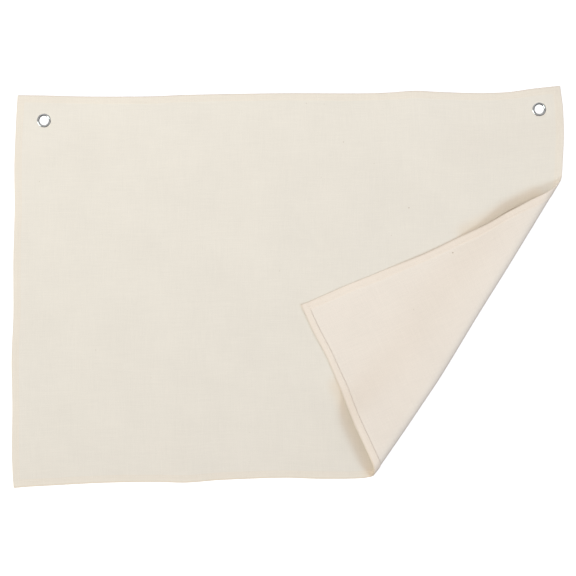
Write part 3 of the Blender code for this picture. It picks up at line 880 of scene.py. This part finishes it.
def metalMaterial(name, finish, centre):
    wire = Wiring(name)
    place = wire.node("TexCoord").outputs["Object"]
    toCentre = (-centre[0] * mm, -centre[1] * mm, 0.0)
    local = wire.node("VectorMath", {0: place, 1: toCentre}, operation="ADD").outputs[0]
    split = wire.node("SeparateXYZ", {0: local})
    radius = wire.node("VectorMath", {0: wire.combine(split.outputs[0], split.outputs[1])},
                       operation="LENGTH").outputs["Value"]
    angle = wire.math("ARCTAN2", split.outputs[1], split.outputs[0])
    # polishing lines run round the ring, and small handling marks across it
    lines = wire.noise(wire.combine(wire.math("MULTIPLY", radius, 9000.0),
                                    wire.math("MULTIPLY", angle, 1.5)), 1.0, 3.0)
    marks = wire.noise(local, 700.0, 4.0, 0.6)
    low, high = finish["roughness"]
    wear = wire.math("ADD", wire.math("MULTIPLY", lines, 0.6), wire.math("MULTIPLY", marks, 0.4))
    rough = wire.spread(wear, 0.35, 0.65, low, high)
    tint = wire.spread(marks, 0.3, 0.7, 0.93, 1.04)
    colour = wire.mix(1.0, finish["colour"], wire.combine(tint, tint, tint), "MULTIPLY")
    wire.put(wire.shader.inputs["Base Color"], colour)
    wire.put(wire.shader.inputs["Metallic"], 1.0)
    wire.put(wire.shader.inputs["Roughness"], rough)
    bump = wire.node("Bump", {"Strength": 0.5, "Distance": finish["scratch"], "Height": lines})
    wire.put(wire.shader.inputs["Normal"], bump.outputs[0])
    return wire.material


# The pale floor, the three soft lights, the sky, the grey room that the metal mirrors, and the camera
studio = {
    "floorSize": 40.0,       # metres
    "floorColour": (0.52, 0.52, 0.52),
    "floorGlow": 0.78,
    # soft boxes: where each stands (azimuth, elevation, metres away), the point it faces, size and watts
    "leftPlace": (203.0, 45.0, 5.5),
    "leftFaces": (0.0, 0.0, 0.0),
    "leftSize": 2.6,
    "leftPower": 148.0,
    "leftColour": (0.88, 1.0, 0.965),
    "rightPlace": (-17.0, 31.0, 6.0),
    "rightFaces": (0.0, 0.0, 0.0),
    "rightSize": 1.78,
    "rightPower": 142.0,
    "rightColour": (0.60, 0.80, 0.91),
    "topPlace": (150.0, 80.0, 2.3),
    "topFaces": (-0.35, 4.5, 0.0),
    "topSize": 0.5,
    "topPower": 29.5,
    "topColour": (0.935, 1.0, 0.98),
    "skyHigh": (0.512, 0.39, 0.366),
    "skyLow": (0.173, 0.13, 0.118),
    "roomSlope": (0.0, 0.25, 0.22),
    "roomPanels": 2.4,
    "roomFrom": 0.47,        # the room is dark up to here, and pale from "roomTo" on
    "roomTo": 0.95,
    "roomDark": 0.01,
    "roomPale": 0.95,
    "lens": 200.0,
    "cameraPlace": (0.0004, -0.0014, 4.1217),
}


def makeFloor():
    half = studio["floorSize"] / 2 / mm
    wire = Wiring("paleFloor")
    grain = wire.noise(wire.node("TexCoord").outputs["Object"], 3.0, 3.0)
    shade = wire.spread(grain, 0.3, 0.7, 0.99, 1.01)
    wire.put(wire.shader.inputs["Base Color"],
             wire.mix(1.0, studio["floorColour"], wire.combine(shade, shade, shade), "MULTIPLY"))
    wire.put(wire.shader.inputs["Roughness"], 0.95)
    wire.put(wire.shader.inputs["Specular IOR Level"], 0.1)
    wire.put(wire.shader.inputs["Emission Color"], (1.0, 1.0, 1.0, 1.0))
    wire.put(wire.shader.inputs["Emission Strength"], studio["floorGlow"])
    corners = [(-half, -half, -0.05), (half, -half, -0.05), (half, half, -0.05), (-half, half, -0.05)]
    floor = newObject("floor", corners, [(0, 1, 2, 3)], wire.material, smooth=False)
    floor.visible_diffuse = floor.visible_glossy = False   # the glow stays out of the banner's own light


def aimed(azimuth, elevation, distance):
    a, e = math.radians(azimuth), math.radians(elevation)
    return Vector((math.cos(a) * math.cos(e), math.sin(a) * math.cos(e), math.sin(e))) * distance


def makeLight(name):
    light = bpy.data.lights.new(name + "Light", "AREA")
    light.shape = "SQUARE"
    light.size = studio[name + "Size"]
    light.energy = studio[name + "Power"]
    light.color = studio[name + "Colour"]
    made = bpy.data.objects.new(name + "Light", light)
    made.location = aimed(*studio[name + "Place"])
    made.rotation_mode = "QUATERNION"
    made.rotation_quaternion = (Vector(studio[name + "Faces"]) - made.location).to_track_quat("-Z", "Y")
    made.visible_camera = False
    made.visible_glossy = name == "left"   # the metal mirrors this one alone
    bpy.context.scene.collection.objects.link(made)


def makeStudio():
    makeFloor()
    for name in ("left", "right", "top"):
        makeLight(name)
    world = bpy.data.worlds.new("studioRoom")
    bpy.context.scene.world = world
    world.use_nodes = True
    tree = world.node_tree
    tree.nodes.clear()
    direction = tree.nodes.new("ShaderNodeTexCoord")
    split = tree.nodes.new("ShaderNodeSeparateXYZ")
    ramp = tree.nodes.new("ShaderNodeValToRGB")
    sky = tree.nodes.new("ShaderNodeBackground")
    out = tree.nodes.new("ShaderNodeOutputWorld")
    ramp.color_ramp.elements[0].color = (*studio["skyLow"], 1.0)
    ramp.color_ramp.elements[1].color = (*studio["skyHigh"], 1.0)
    ramp.color_ramp.elements[1].position = 0.8
    tree.links.new(direction.outputs["Generated"], split.inputs[0])
    tree.links.new(split.outputs["Z"], ramp.inputs[0])
    # the metal mirrors a plain grey room instead: pale behind the banner's heading, dark before it
    mirrored = tree.nodes.new("ShaderNodeVectorMath")
    mirrored.operation = "DOT_PRODUCT"
    mirrored.inputs[1].default_value = studio["roomSlope"]
    panels = tree.nodes.new("ShaderNodeTexNoise")
    panels.inputs["Scale"].default_value = studio["roomPanels"]
    panels.inputs["Detail"].default_value = 0.0
    total = tree.nodes.new("ShaderNodeMath")
    room = tree.nodes.new("ShaderNodeMapRange")
    for socket, name in enumerate(("roomFrom", "roomTo", "roomDark", "roomPale"), start=1):
        room.inputs[socket].default_value = studio[name]
    path = tree.nodes.new("ShaderNodeLightPath")
    choice = tree.nodes.new("ShaderNodeMix")
    choice.data_type = "RGBA"
    tree.links.new(direction.outputs["Generated"], mirrored.inputs[0])
    tree.links.new(direction.outputs["Generated"], panels.inputs["Vector"])
    tree.links.new(mirrored.outputs["Value"], total.inputs[0])
    tree.links.new(panels.outputs["Fac"], total.inputs[1])
    tree.links.new(total.outputs[0], room.inputs[0])
    tree.links.new(path.outputs["Is Glossy Ray"], choice.inputs[0])
    tree.links.new(ramp.outputs[0], choice.inputs[6])
    tree.links.new(room.outputs[0], choice.inputs[7])
    tree.links.new(choice.outputs[2], sky.inputs["Color"])
    tree.links.new(sky.outputs[0], out.inputs["Surface"])
    camera = bpy.data.cameras.new("camera")
    camera.lens = studio["lens"]
    camera.sensor_width = 36.0
    made = bpy.data.objects.new("camera", camera)
    made.location = studio["cameraPlace"]
    bpy.context.scene.collection.objects.link(made)
    bpy.context.scene.camera = made
    bpy.context.scene.view_settings.view_transform = "Standard"
    print("studio: floor, three soft lights and camera")


makeStudio()
canvas = canvasMaterial()
banner = makeCloth(canvas)
stitches = makeStitches(threadMaterial())
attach(banner, "root")
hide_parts(*clothNodes)
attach(stitches, "root")
rings = []
for node, washerNode, centre in zip(eyelets["nodes"], eyelets["washers"], eyeletCentres):
    side = node.split("_")[1]
    nickel = metalMaterial("nickel_" + side, metalFinish["nickel"], centre)
    washerNickel = metalMaterial("washerNickel_" + side, metalFinish["washer"], centre)
    ring = makeEyelet("eyelet_ring_" + side, centre, nickel)
    disc = makeWasher("washer_ring_" + side, centre, washerNickel)
    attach(ring, "root")
    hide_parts(node)
    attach(disc, "root")
    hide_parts(washerNode)
    rings += [ring, disc]
print("eyelets and washers:", len(rings), "rings")
